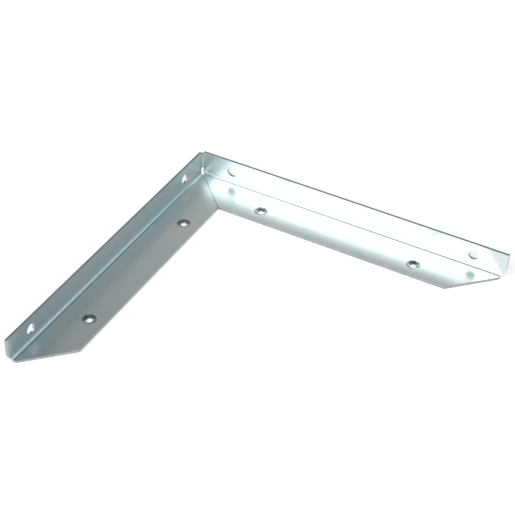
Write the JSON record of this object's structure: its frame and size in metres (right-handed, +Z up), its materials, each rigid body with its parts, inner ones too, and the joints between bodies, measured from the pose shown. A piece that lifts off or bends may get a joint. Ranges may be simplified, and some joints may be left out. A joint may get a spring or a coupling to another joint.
{
  "type": "shelf bracket",
  "caption": "Flat L-shaped shelf bracket folded from steel sheet: a mitred web with countersunk holes, and a low upright flange with plain holes around its outside edge.",
  "frame": {"origin": "middle of the bounding box's underside, on the plane of the web's underside; the outside of the corner is at X -0.125, Y +0.125", "axes": "+Z up, square to the web, the way the flanges stand; one arm runs along +X from the corner, the other along -Y"},
  "size_m": [0.25, 0.25, 0.021],
  "materials": {
    "zinc_plate": "bright zinc plating with a slight blue passivation, smooth rolled sheet"
  },
  "bodies": {
    "root": {"bracket": "zinc_plate"}
  },
  "joints": []
}
